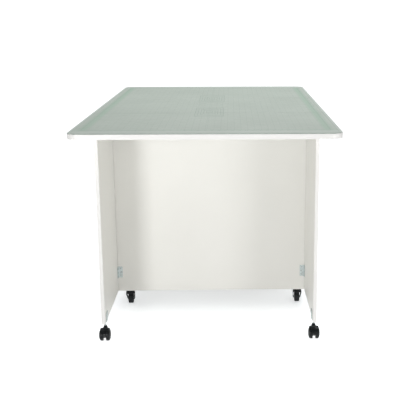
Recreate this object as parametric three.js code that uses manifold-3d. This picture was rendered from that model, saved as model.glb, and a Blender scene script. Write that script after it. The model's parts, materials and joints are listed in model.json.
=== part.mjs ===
// A folding sewing and cutting table on casters.
//
// A narrow box carcass carries a fixed centre top.  A drop leaf is hinged to its front edge and another
// to its rear edge.  Four gate wings, hinged at the carcass's corners, swing out under the leaves and
// hold them up.  A gridded cutting mat lies on each of the three boards.
//
// Millimetres.  +Z is up, X runs along the table's width and the front is at -Y.  The origin is on the
// floor below the centre of the top.

import * as THREE from "three";
import { mergeVertices } from "three/addons/utils/BufferGeometryUtils.js";
import Module from "manifold-3d";

// Driving dimensions.
const TABLE_HEIGHT = 889; // floor to the cutting mat's face
const TABLE_WIDTH = 1000;
const TABLE_DEPTH = 1820; // both leaves up
const CENTRE_TOP_DEPTH = 606; // between the two hinge lines
const CORNER_RADIUS = 42; // the outer corners of the leaves
const TOP_THICKNESS = 19;
const MAT_THICKNESS = 2;
const MAT_INSET = 1.5; // from the boards' outer edges
const LEAF_JOINT_GAP = 2; // between the centre top and a leaf

const CARCASS_WIDTH = 872;
const CARCASS_DEPTH = 536;
const PANEL_THICKNESS = 15;
const CARCASS_CLEARANCE = 78; // floor to the carcass's lower edge

const WING_LENGTH = 417;
const WING_CLEARANCE = 80; // floor to a wing's lower edge
const WING_END_GAP = 2; // between a wing's hinged end and the carcass
const WING_TOP_GAP = 1; // between a wing's upper edge and the leaf

const TOUCH_GAP = 0.3; // between pieces that rest on each other

// Places worked out from them.
const TOP_FACE_Z = TABLE_HEIGHT - MAT_THICKNESS - TOUCH_GAP;
const TOP_UNDERSIDE_Z = TOP_FACE_Z - TOP_THICKNESS;
const PANEL_TOP_Z = TOP_UNDERSIDE_Z - TOUCH_GAP;
const SIDE_FACE_X = CARCASS_WIDTH / 2;
const FRONT_FACE_Y = -CARCASS_DEPTH / 2;
const WING_INNER_X = -(SIDE_FACE_X - PANEL_THICKNESS);
const HINGE_LINE_Y = -CENTRE_TOP_DEPTH / 2;

// Butt hinges between the carcass and the wings.
const BUTT_HINGE = { length: 51, knuckles: 3, barrelRadius: 3, pinRadius: 1.4, plateWidth: 18, plate: 1.5 };
const LOWER_HINGE_Z = 168;
const UPPER_HINGE_Z = 800;

// Continuous hinges between the centre top and the leaves, sunk into a rebate.
const LEAF_HINGE = { length: 980, knuckles: 7, barrelRadius: 2.8, pinRadius: 1.2, plateWidth: 26, plate: 1.2 };
const REBATE_DEPTH = 2 * LEAF_HINGE.barrelRadius + 2 * TOUCH_GAP;
const REBATE_REACH = LEAF_HINGE.plateWidth + 3; // from the hinge line
const REBATE_LENGTH = LEAF_HINGE.length + 4;

// Casters.
const WHEEL_RADIUS = 25;
const WHEEL_SIDES = 24;
const CASTER_TRAIL = 20; // swivel axis to wheel axle
const AXLE_RADIUS = 3;
const RUNNING_GAP = 0.4;
const WING_CASTER_INSET = 50; // swivel axis from a wing's free end
const TWIN_WHEEL_WIDTH = 48;
const TWIN_WHEEL_SPACE = 12; // between the two wheels of a pair
const CANOPY_WIDTH = 36;
const CANOPY_REAR = 0.08 * Math.PI; // where the canopy starts and ends, as angles about the axle
const CANOPY_FRONT = 0.8 * Math.PI;
const WEB_RADIUS = 14; // the hood's web below the axle
const BOSS_RADIUS = 8;
const NECK_RADIUS = 5.5;
const STEM_RADIUS = 3.5;
const STEM_DEPTH = 22; // into a wing's lower edge
const BRACKET = { sheet: 2.5, halfLength: 20, upstand: 38 };
const CARCASS_CASTER_X = { left: -373, right: -392 }; // in the quarter, before mirroring
const CARCASS_CASTER_Y = -228;
const FORK_WHEEL_WIDTH = 23;
const CASTER_PLATE = { side: 60, sheet: 2.5 };
const KINGPIN = { radius: 4, headRadius: 7, head: 3, foot: 24 }; // foot: above the wheel's axle
const RACE = { radius: 20, cupRadius: 18.5, top: 64 }; // the fork's dish and the fixed cup above it

const wasm = await Module();
wasm.setup();

// Materials.
function material(color, roughness, metalness = 0) {
  return new THREE.MeshStandardMaterial({ color, roughness, metalness });
}

const melamine = material(0xf1f0ec, 0.45);
const matSurface = material(0xb9c3ba, 0.5);
const zinc = material(0xa9adb0, 0.35, 0.9);
const blackPlastic = material(0x17191b, 0.4);
const greyTread = material(0x3c4043, 0.6);

// A geometry as a manifold solid, and a solid as a geometry.
function solid(geometry) {
  const bare = geometry.clone();
  bare.deleteAttribute("normal");
  bare.deleteAttribute("uv");
  const merged = mergeVertices(bare, 1e-4);
  return new wasm.Manifold(
    new wasm.Mesh({
      numProp: 3,
      vertProperties: merged.attributes.position.array,
      triVerts: new Uint32Array(merged.index.array),
    }),
  );
}

function geometryOf(body) {
  const mesh = body.getMesh();
  return new THREE.BufferGeometry()
    .setAttribute("position", new THREE.BufferAttribute(mesh.vertProperties, 3))
    .setIndex(new THREE.BufferAttribute(mesh.triVerts, 1));
}

// Some geometries joined, less some others.
function join(pieces, cuts = []) {
  let body = pieces.map(solid).reduce((whole, piece) => whole.add(piece));
  for (const cut of cuts) body = body.subtract(solid(cut));
  return geometryOf(body);
}

// A box between two opposite corners.
function block(low, high) {
  const size = high.map((value, axis) => value - low[axis]);
  const middle = high.map((value, axis) => (value + low[axis]) / 2);
  return new THREE.BoxGeometry(...size).translate(...middle);
}

// A rod between two places along an axis, "x" or "z".
function rod(axis, radius, from, to, sides = 12) {
  const shaft = new THREE.CylinderGeometry(radius, radius, to - from, sides);
  if (axis === "x") shaft.rotateZ(Math.PI / 2).translate((from + to) / 2, 0, 0);
  else shaft.rotateX(Math.PI / 2).translate(0, 0, (from + to) / 2);
  return shaft;
}

// An outline in the YZ plane made into a plate of some thickness, centred on X = 0.
function sidePlate(shape, thickness) {
  return new THREE.ExtrudeGeometry(shape, { depth: thickness, bevelEnabled: false, curveSegments: 7 })
    .translate(0, 0, -thickness / 2)
    .rotateY(Math.PI / 2)
    .rotateX(Math.PI / 2);
}

const model = new THREE.Group();

function add(name, geometry, looks, group = model) {
  const mesh = new THREE.Mesh(geometry, looks);
  mesh.name = name;
  group.add(mesh);
  return mesh;
}

// Carcass: four upright panels and a bottom.
function addCarcass() {
  const rearOfFront = FRONT_FACE_Y + PANEL_THICKNESS;
  const innerX = -WING_INNER_X - TOUCH_GAP;
  const innerY = -rearOfFront - TOUCH_GAP;
  const bottom = CARCASS_CLEARANCE;
  const facePanel = block([-SIDE_FACE_X, FRONT_FACE_Y, bottom], [SIDE_FACE_X, rearOfFront, PANEL_TOP_Z]);
  const endPanel = block([-SIDE_FACE_X, -innerY, bottom], [WING_INNER_X, innerY, PANEL_TOP_Z]);
  add("front_panel", facePanel, melamine);
  add("rear_panel", facePanel, melamine).rotation.z = Math.PI;
  add("left_end_panel", endPanel, melamine);
  add("right_end_panel", endPanel, melamine).rotation.z = Math.PI;
  const floor = block([-innerX, -innerY, bottom], [innerX, innerY, bottom + PANEL_THICKNESS]);
  add("bottom_panel", floor, melamine);
}

// The leaf outline from the hinge line to the front edge, with its two outer corners rounded.
function leafOutline(inset) {
  const halfWidth = TABLE_WIDTH / 2 - inset;
  const frontY = -TABLE_DEPTH / 2 + inset;
  const rearY = HINGE_LINE_Y - LEAF_JOINT_GAP / 2;
  const radius = CORNER_RADIUS - inset;
  const outline = new THREE.Shape();
  outline.moveTo(halfWidth, rearY);
  outline.lineTo(-halfWidth, rearY);
  outline.lineTo(-halfWidth, frontY + radius);
  outline.absarc(-halfWidth + radius, frontY + radius, radius, Math.PI, 1.5 * Math.PI);
  outline.absarc(halfWidth - radius, frontY + radius, radius, 1.5 * Math.PI, 2 * Math.PI);
  outline.closePath();
  return outline;
}

function leafSlab(inset, thickness, bottom) {
  return new THREE.ExtrudeGeometry(leafOutline(inset), {
    depth: thickness,
    bevelEnabled: false,
    curveSegments: 8,
  }).translate(0, 0, bottom);
}

// The rebate that holds the continuous hinge, on both sides of the front hinge line.
function hingeRebate() {
  return block(
    [-REBATE_LENGTH / 2, HINGE_LINE_Y - REBATE_REACH, TOP_UNDERSIDE_Z - 1],
    [REBATE_LENGTH / 2, HINGE_LINE_Y + REBATE_REACH, TOP_UNDERSIDE_Z + REBATE_DEPTH],
  );
}

function addTop() {
  const halfWidth = TABLE_WIDTH / 2;
  const halfDepth = CENTRE_TOP_DEPTH / 2 - LEAF_JOINT_GAP / 2;
  const board = block([-halfWidth, -halfDepth, TOP_UNDERSIDE_Z], [halfWidth, halfDepth, TOP_FACE_Z]);
  const rearRebate = hingeRebate().rotateZ(Math.PI);
  add("centre_top", join([board], [hingeRebate(), rearRebate]), melamine);
  const matHalf = halfWidth - MAT_INSET;
  const matBottom = TABLE_HEIGHT - MAT_THICKNESS;
  add("centre_mat", block([-matHalf, -halfDepth, matBottom], [matHalf, halfDepth, TABLE_HEIGHT]), matSurface);

  const leaf = join([leafSlab(0, TOP_THICKNESS, TOP_UNDERSIDE_Z)], [hingeRebate()]);
  const mat = leafSlab(MAT_INSET, MAT_THICKNESS, matBottom);
  for (const [end, turn] of [["front", 0], ["rear", Math.PI]]) {
    add(end + "_leaf", leaf, melamine).rotation.z = turn;
    add(end + "_mat", mat, matSurface).rotation.z = turn;
  }
}

// Half of a hinge, laid open flat.  The barrel's axis is Z.  The fixed half's plate runs along +X and
// the moving half's along -X, both with their back on the plane Y = barrelRadius.  The fixed half holds
// the end knuckles and the pin.
function hingeHalf(hinge, moving) {
  const { length, knuckles, barrelRadius, pinRadius, plateWidth, plate } = hinge;
  const pitch = length / knuckles;
  const back = barrelRadius;
  const clearOfBarrel = barrelRadius + RUNNING_GAP;
  const strip = block([clearOfBarrel, back - plate, -length / 2], [plateWidth, back, length / 2]);
  const pieces = [strip];
  for (let knuckle = moving ? 1 : 0; knuckle < knuckles; knuckle += 2) {
    const from = -length / 2 + knuckle * pitch + (knuckle ? RUNNING_GAP / 2 : 0);
    const to = -length / 2 + (knuckle + 1) * pitch - (knuckle < knuckles - 1 ? RUNNING_GAP / 2 : 0);
    pieces.push(rod("z", barrelRadius, from, to, 10));
    pieces.push(block([0, back - plate, from], [clearOfBarrel + 1, back, to]));
  }
  const bore = [];
  if (moving) bore.push(rod("z", pinRadius + RUNNING_GAP, -length, length, 6));
  else pieces.push(rod("z", pinRadius, -length / 2 + 1, length / 2 - 1, 6));
  const half = join(pieces, bore);
  return moving ? half.rotateY(Math.PI) : half;
}

function addLeafHinges() {
  const axisZ = TOP_UNDERSIDE_Z + REBATE_DEPTH - TOUCH_GAP - LEAF_HINGE.barrelRadius;
  const fixed = hingeHalf(LEAF_HINGE, false);
  const moving = hingeHalf(LEAF_HINGE, true);
  for (const [end, turn] of [["front", 0], ["rear", Math.PI]]) {
    const place = new THREE.Group();
    place.rotation.z = turn;
    const hinge = new THREE.Group();
    hinge.position.set(0, HINGE_LINE_Y, axisZ);
    // The barrel's axis is laid along X, with the backs of the plates up and the fixed plate rearward.
    hinge.setRotationFromMatrix(
      new THREE.Matrix4().makeBasis(
        new THREE.Vector3(0, 1, 0),
        new THREE.Vector3(0, 0, 1),
        new THREE.Vector3(1, 0, 0),
      ),
    );
    add(end + "_leaf_hinge_fixed", fixed, zinc, hinge);
    add(end + "_leaf_hinge_moving", moving, zinc, hinge);
    place.add(hinge);
    model.add(place);
  }
}

// Moved from the origin to a caster's axle.
function atAxle(geometry) {
  return geometry.translate(0, -CASTER_TRAIL, WHEEL_RADIUS);
}

// A twin-wheel caster for the wings.  The swivel axis is Z through the origin, Z = 0 is the floor, and
// the wheels trail towards -Y.
function hoodGeometry() {
  const hoodOuter = WHEEL_RADIUS + 3;
  const hoodInner = WHEEL_RADIUS + 1;
  const canopy = new THREE.Shape();
  canopy.absarc(0, 0, hoodOuter, CANOPY_REAR, CANOPY_FRONT);
  canopy.absarc(0, 0, hoodInner, CANOPY_FRONT, CANOPY_REAR, true);
  canopy.closePath();
  const web = new THREE.Shape();
  web.absarc(0, 0, hoodInner + 0.5, 0, Math.PI);
  web.absarc(0, 0, WEB_RADIUS, Math.PI, 2 * Math.PI);
  web.closePath();
  const webWidth = TWIN_WHEEL_SPACE - 2 * RUNNING_GAP;
  const stemTop = WING_CLEARANCE + STEM_DEPTH;
  const bossFoot = WHEEL_RADIUS + 16;
  return join(
    [
      atAxle(sidePlate(canopy, CANOPY_WIDTH)),
      atAxle(sidePlate(web, webWidth)),
      rod("z", BOSS_RADIUS, bossFoot, WHEEL_RADIUS + 30),
      rod("z", NECK_RADIUS, bossFoot, WHEEL_RADIUS + 37),
      rod("z", STEM_RADIUS, bossFoot, stemTop),
    ],
    [
      atAxle(rod("x", AXLE_RADIUS + RUNNING_GAP, -TWIN_WHEEL_WIDTH, TWIN_WHEEL_WIDTH)),
      // The boss stays clear of the wheels on both sides of the web.
      atAxle(rod("x", hoodInner, -TWIN_WHEEL_WIDTH, -webWidth / 2, WHEEL_SIDES)),
      atAxle(rod("x", hoodInner, webWidth / 2, TWIN_WHEEL_WIDTH, WHEEL_SIDES)),
    ],
  );
}

// Both wheels of a pair and their axle, as one turned piece along X.
function twinWheelGeometry() {
  const outer = TWIN_WHEEL_WIDTH / 2;
  const inner = TWIN_WHEEL_SPACE / 2;
  const half = [
    [0, outer],
    [WHEEL_RADIUS - 9, outer - 1.5],
    [WHEEL_RADIUS - 1.5, outer - 4.5],
    [WHEEL_RADIUS, outer - 8],
    [WHEEL_RADIUS, inner],
    [AXLE_RADIUS, inner],
  ];
  const left = half.map(([radius, x]) => new THREE.Vector2(radius, -x));
  const right = half.map(([radius, x]) => new THREE.Vector2(radius, x)).reverse();
  return atAxle(new THREE.LatheGeometry([...left, ...right], WHEEL_SIDES).rotateZ(-Math.PI / 2));
}

// The angle bracket that holds a caster's stem to a wing's lower edge and inner face.
function bracketGeometry() {
  const { sheet, halfLength, upstand } = BRACKET;
  const halfWing = PANEL_THICKNESS / 2;
  const top = WING_CLEARANCE - TOUCH_GAP;
  const innerFace = halfWing + TOUCH_GAP;
  return join(
    [
      block([-halfWing + 1, -halfLength, top - sheet], [innerFace + sheet, halfLength, top]),
      block([innerFace, -halfLength, top - sheet], [innerFace + sheet, halfLength, WING_CLEARANCE + upstand]),
    ],
    [rod("z", STEM_RADIUS + RUNNING_GAP, top - 2 * sheet, top + sheet)],
  );
}

// A single-wheel fork caster for the carcass, with the same swivel axis, floor and trail.
function forkPlateGeometry() {
  const top = CARCASS_CLEARANCE - TOUCH_GAP;
  const half = CASTER_PLATE.side / 2;
  const kingpinFoot = WHEEL_RADIUS + KINGPIN.foot;
  return join([
    block([-half, -half, top - CASTER_PLATE.sheet], [half, half, top]),
    rod("z", RACE.cupRadius, RACE.top + RUNNING_GAP, top - 1, 20),
    rod("z", KINGPIN.radius, kingpinFoot, top - 1),
    rod("z", KINGPIN.headRadius, kingpinFoot, kingpinFoot + KINGPIN.head),
  ]);
}

function forkGeometry() {
  const sheet = 2;
  const headTop = WHEEL_RADIUS + KINGPIN.foot + KINGPIN.head;
  const bridgeTop = headTop + 3;
  const legMiddle = FORK_WHEEL_WIDTH / 2 + 2 + sheet / 2;
  const outerFace = legMiddle + sheet / 2;
  const eye = 8;
  const leg = new THREE.Shape();
  leg.moveTo(14, bridgeTop);
  leg.lineTo(-22, bridgeTop);
  leg.lineTo(-CASTER_TRAIL - eye, WHEEL_RADIUS);
  leg.absarc(-CASTER_TRAIL, WHEEL_RADIUS, eye, Math.PI, 2 * Math.PI);
  leg.closePath();
  const axleEnd = outerFace + 1.8;
  return join(
    [
      sidePlate(leg, sheet).translate(legMiddle, 0, 0),
      sidePlate(leg, sheet).translate(-legMiddle, 0, 0),
      block([-outerFace, -22, bridgeTop - sheet], [outerFace, 14, bridgeTop]),
      rod("z", RACE.radius, bridgeTop - 0.5, RACE.top, 20),
      atAxle(rod("x", AXLE_RADIUS, -axleEnd, axleEnd)),
      atAxle(rod("x", 5, -axleEnd, -outerFace + 0.2)),
      atAxle(rod("x", 5, outerFace - 0.2, axleEnd)),
    ],
    [
      rod("z", KINGPIN.radius + RUNNING_GAP, WHEEL_RADIUS, CARCASS_CLEARANCE),
      rod("z", KINGPIN.headRadius + RUNNING_GAP, WHEEL_RADIUS, headTop + RUNNING_GAP),
    ],
  );
}

function forkWheelGeometry() {
  const half = FORK_WHEEL_WIDTH / 2;
  const bore = AXLE_RADIUS + RUNNING_GAP;
  const profile = [
    [bore, -half],
    [WHEEL_RADIUS - 3, -half],
    [WHEEL_RADIUS, -half + 3],
    [WHEEL_RADIUS, half - 3],
    [WHEEL_RADIUS - 3, half],
    [bore, half],
    [bore, -half],
  ].map(([radius, x]) => new THREE.Vector2(radius, x));
  return atAxle(new THREE.LatheGeometry(profile, WHEEL_SIDES).rotateZ(-Math.PI / 2));
}

// One wing with its bored lower edge, at the front left corner.
function wingGeometry(stemX, stemY) {
  const hingedEnd = FRONT_FACE_Y - WING_END_GAP;
  const board = block(
    [-SIDE_FACE_X, hingedEnd - WING_LENGTH, WING_CLEARANCE],
    [WING_INNER_X, hingedEnd, TOP_UNDERSIDE_Z - WING_TOP_GAP],
  );
  const bore = rod("z", STEM_RADIUS + RUNNING_GAP, WING_CLEARANCE - 1, WING_CLEARANCE + STEM_DEPTH + 2);
  return join([board], [bore.translate(stemX, stemY, 0)]);
}

// The four corners are alike: the front left one, mirrored to the right and to the rear.
function addCorners() {
  const barrelX = WING_INNER_X + TOUCH_GAP + BUTT_HINGE.barrelRadius;
  const barrelY = FRONT_FACE_Y - TOUCH_GAP - BUTT_HINGE.barrelRadius;
  const stemX = WING_INNER_X - PANEL_THICKNESS / 2;
  const stemY = FRONT_FACE_Y - WING_END_GAP - WING_LENGTH + WING_CASTER_INSET;

  const wing = wingGeometry(stemX, stemY);
  const hingeFixed = hingeHalf(BUTT_HINGE, false);
  const hingeMoving = hingeHalf(BUTT_HINGE, true).rotateZ(Math.PI / 2);
  const wingCaster = [
    ["bracket", bracketGeometry(), zinc],
    ["hood", hoodGeometry(), blackPlastic],
    ["wheels", twinWheelGeometry(), blackPlastic],
  ];
  const carcassCaster = [
    ["plate", forkPlateGeometry(), zinc],
    ["fork", forkGeometry(), blackPlastic],
    ["wheel", forkWheelGeometry(), greyTread],
  ];

  for (const [end, alongY] of [["front", 1], ["rear", -1]]) {
    for (const [side, alongX] of [["left", 1], ["right", -1]]) {
      const corner = end + "_" + side;
      const quarter = new THREE.Group();
      quarter.scale.set(alongX, alongY, 1);
      model.add(quarter);
      add(corner + "_wing", wing, melamine, quarter);
      for (const [level, z] of [["lower", LOWER_HINGE_Z], ["upper", UPPER_HINGE_Z]]) {
        const hinge = new THREE.Group();
        hinge.position.set(barrelX, barrelY, z);
        quarter.add(hinge);
        add(corner + "_" + level + "_hinge_fixed", hingeFixed, zinc, hinge);
        add(corner + "_" + level + "_hinge_moving", hingeMoving, zinc, hinge);
      }
      for (const [piece, geometry, looks] of wingCaster) {
        add(corner + "_wing_caster_" + piece, geometry, looks, quarter).position.set(stemX, stemY, 0);
      }
      for (const [piece, geometry, looks] of carcassCaster) {
        const mesh = add(corner + "_caster_" + piece, geometry, looks, quarter);
        mesh.position.set(CARCASS_CASTER_X[side], CARCASS_CASTER_Y, 0);
        mesh.rotation.z = Math.PI; // trails inwards, under the carcass
      }
    }
  }
}

addCarcass();
addTop();
addLeafHinges();
addCorners();

export default model;
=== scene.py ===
"""The looks of a folding sewing table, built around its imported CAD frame.

Every length is in metres, in the frame's own coordinates: +Z up, X along the width, the front at -Y and
the floor at Z = 0.  White melamine boards, a gridded cutting mat, zinc hinges and brackets and black
casters each have a section below.
"""

import json
import math

import bmesh
import bpy
from mathutils import Matrix, Vector


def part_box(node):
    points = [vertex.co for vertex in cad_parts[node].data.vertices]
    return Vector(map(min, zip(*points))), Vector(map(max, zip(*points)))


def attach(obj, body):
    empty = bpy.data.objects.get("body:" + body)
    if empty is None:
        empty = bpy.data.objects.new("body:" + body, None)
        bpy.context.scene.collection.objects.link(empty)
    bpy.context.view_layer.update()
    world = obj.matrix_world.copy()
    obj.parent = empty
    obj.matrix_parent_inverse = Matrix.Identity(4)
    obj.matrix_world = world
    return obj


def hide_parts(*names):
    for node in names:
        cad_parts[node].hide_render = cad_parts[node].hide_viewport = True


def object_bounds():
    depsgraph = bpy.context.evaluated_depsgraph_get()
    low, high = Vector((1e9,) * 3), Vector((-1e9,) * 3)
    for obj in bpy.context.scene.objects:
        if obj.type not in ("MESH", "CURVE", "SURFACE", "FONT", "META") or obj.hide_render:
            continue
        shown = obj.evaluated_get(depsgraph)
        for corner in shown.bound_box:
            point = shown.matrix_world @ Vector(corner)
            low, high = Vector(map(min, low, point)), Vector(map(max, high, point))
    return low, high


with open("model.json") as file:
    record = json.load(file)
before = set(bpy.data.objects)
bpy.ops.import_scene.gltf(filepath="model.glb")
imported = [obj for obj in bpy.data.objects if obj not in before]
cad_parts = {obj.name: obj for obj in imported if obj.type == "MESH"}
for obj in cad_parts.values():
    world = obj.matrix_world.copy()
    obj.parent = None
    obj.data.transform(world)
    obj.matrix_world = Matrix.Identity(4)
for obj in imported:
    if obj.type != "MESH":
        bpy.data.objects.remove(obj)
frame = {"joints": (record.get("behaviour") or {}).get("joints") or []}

CAD_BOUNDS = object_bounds()

MM = 0.001
INCH = 0.0254
ENDS = (("front", 1), ("rear", -1))
SIDES = (("left", 1), ("right", -1))


# ---------------------------------------------------------------- material helpers

class Nodes:
    """A small builder for one material's node tree."""

    def __init__(self, name):
        self.material = bpy.data.materials.new(name)
        self.material.use_nodes = True
        self.tree = self.material.node_tree
        self.shader = self.tree.nodes["Principled BSDF"]
        self.position = self.add("ShaderNodeTexCoord").outputs["Object"]

    def add(self, kind, **settings):
        node = self.tree.nodes.new(kind)
        for key, value in settings.items():
            setattr(node, key, value)
        return node

    def link(self, source, target):
        self.tree.links.new(source, target)

    def feed(self, value, socket):
        if isinstance(value, (int, float)):
            socket.default_value = value
        elif isinstance(value, tuple):
            socket.default_value = value if len(value) != 3 or socket.type == "VECTOR" else (*value, 1)
        else:
            self.link(value, socket)

    def math(self, operation, first, second=0.0, third=None, clamp=False):
        node = self.add("ShaderNodeMath", operation=operation, use_clamp=clamp)
        self.feed(first, node.inputs[0])
        self.feed(second, node.inputs[1])
        if third is not None:
            self.feed(third, node.inputs[2])
        return node.outputs[0]

    def axes(self):
        split = self.add("ShaderNodeSeparateXYZ")
        self.link(self.position, split.inputs[0])
        return split.outputs

    def noise(self, scale, detail=2.0, stretch=(1.0, 1.0, 1.0), rough=0.5):
        mapping = self.add("ShaderNodeMapping")
        mapping.inputs["Scale"].default_value = stretch
        self.link(self.position, mapping.inputs["Vector"])
        node = self.add("ShaderNodeTexNoise")
        node.inputs["Scale"].default_value = scale
        node.inputs["Detail"].default_value = detail
        node.inputs["Roughness"].default_value = rough
        self.link(mapping.outputs[0], node.inputs["Vector"])
        return node.outputs["Fac"]

    def span(self, value, low, high, to_low, to_high, smooth=False):
        node = self.add("ShaderNodeMapRange")
        node.interpolation_type = "SMOOTHSTEP" if smooth else "LINEAR"
        for socket, number in zip(node.inputs[1:5], (low, high, to_low, to_high)):
            socket.default_value = number
        self.feed(value, node.inputs[0])
        return node.outputs[0]

    def mix(self, factor, first, second, blend="MIX"):
        node = self.add("ShaderNodeMix", data_type="RGBA", blend_type=blend)
        self.feed(factor, node.inputs["Factor"])
        self.feed(first, node.inputs[6])
        self.feed(second, node.inputs[7])
        return node.outputs[2]

    def bump(self, height, strength, distance):
        node = self.add("ShaderNodeBump")
        node.inputs["Strength"].default_value = strength
        node.inputs["Distance"].default_value = distance
        self.link(height, node.inputs["Height"])
        self.link(node.outputs[0], self.shader.inputs["Normal"])

    def finish(self, colour, roughness, **fixed):
        self.feed(colour, self.shader.inputs["Base Color"])
        self.feed(roughness, self.shader.inputs["Roughness"])
        for key, value in fixed.items():
            self.shader.inputs[key.replace("_", " ")].default_value = value
        return self.material


# ---------------------------------------------------------------- materials

def melamine(name, light, shade):
    """Satin white melamine: a faint cloud in the white, fine grain and an eggshell texture."""
    n = Nodes(name)
    cloud = n.span(n.noise(3.0, 3.0), 0.3, 0.7, 0.0, 1.0)
    colour = n.mix(cloud, shade, light)
    fine = n.span(n.noise(900.0, 1.0), 0.35, 0.65, 0.985, 1.0)
    colour = n.mix(1.0, colour, fine, "MULTIPLY")
    # A trace of dust and scuffing low down, where shoes and the floor reach.
    low_down = n.span(n.axes()[2], 0.08, 0.22, 1.0, 0.0, smooth=True)
    scuff = n.span(n.noise(26.0, 6.0, rough=0.7), 0.56, 0.78, 0.0, 0.05)
    colour = n.mix(n.math("MULTIPLY", low_down, scuff), colour, (0.42, 0.41, 0.39))
    roughness = n.span(n.noise(7.0, 4.0), 0.3, 0.7, 0.3, 0.38)
    n.bump(n.noise(1400.0, 2.0), 0.05, 0.00015)
    return n.finish(colour, roughness, IOR=1.5)


def seam_material():
    """The glue line between a board's face and its edge band."""
    n = Nodes("seam")
    tone = n.span(n.noise(160.0, 2.0), 0.3, 0.7, 0.0, 1.0)
    return n.finish(n.mix(tone, (0.5, 0.49, 0.46), (0.66, 0.65, 0.62)), 0.6)


def line_at(n, coordinate, pitch, half_width, soft):
    """1 on lines at every whole pitch of a coordinate, 0 between them."""
    phase = n.math("DIVIDE", coordinate, pitch)
    away = n.math("ABSOLUTE", n.math("SUBTRACT", n.math("FRACT", n.math("ADD", phase, 0.5)), 0.5))
    return n.span(n.math("MULTIPLY", away, pitch), half_width, half_width + soft, 1.0, 0.0)


def stripe(n, distance, middle, half_width, soft=0.0003):
    """1 where a distance is within half a width of its middle, 0 elsewhere, with soft sides."""
    away = n.math("ABSOLUTE", n.math("SUBTRACT", distance, middle))
    return n.span(away, half_width, half_width + soft, 1.0, 0.0)


def brightest(n, *values):
    """The largest of several values."""
    result = values[0]
    for value in values[1:]:
        result = n.math("MAXIMUM", result, value)
    return result


def mat_guides(n, x, y):
    """Angle guides, quarter circles and two nested size gauges printed in the middle of the mat."""
    radius = n.math("SQRT", n.math("ADD", n.math("MULTIPLY", x, x), n.math("MULTIPLY", y, y)))
    away_x, away_y = n.math("ABSOLUTE", x), n.math("ABSOLUTE", y)
    zone = n.math("MULTIPLY", n.math("LESS_THAN", radius, GUIDE_RADIUS), n.math("GREATER_THAN", radius, INCH))
    circles = line_at(n, radius, 2 * INCH, 0.0006, 0.0003)
    half_turn = stripe(n, n.math("SUBTRACT", away_x, away_y), 0.0, 0.0006)
    steeper_y = n.math("MULTIPLY", away_y, math.tan(math.pi / 6))
    third_turn = stripe(n, n.math("SUBTRACT", away_x, steeper_y), 0.0, 0.0006)
    angles = n.math("MULTIPLY", brightest(n, circles, half_turn, third_turn), zone)
    # Each gauge is a set of nested oblongs, ahead of and behind the angle guides.
    beyond = n.math("ABSOLUTE", n.math("SUBTRACT", away_y, GAUGE_MIDDLE))
    outside = n.math("MAXIMUM", away_x, n.math("MULTIPLY", beyond, GAUGE_SHAPE))
    inside_gauge = n.math("LESS_THAN", outside, GAUGE_HALF_WIDTH + 0.002)
    gauges = n.math("MULTIPLY", line_at(n, outside, GAUGE_HALF_WIDTH / 5, 0.0011, 0.0004), inside_gauge)
    return n.math("MAXIMUM", angles, gauges)


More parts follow.
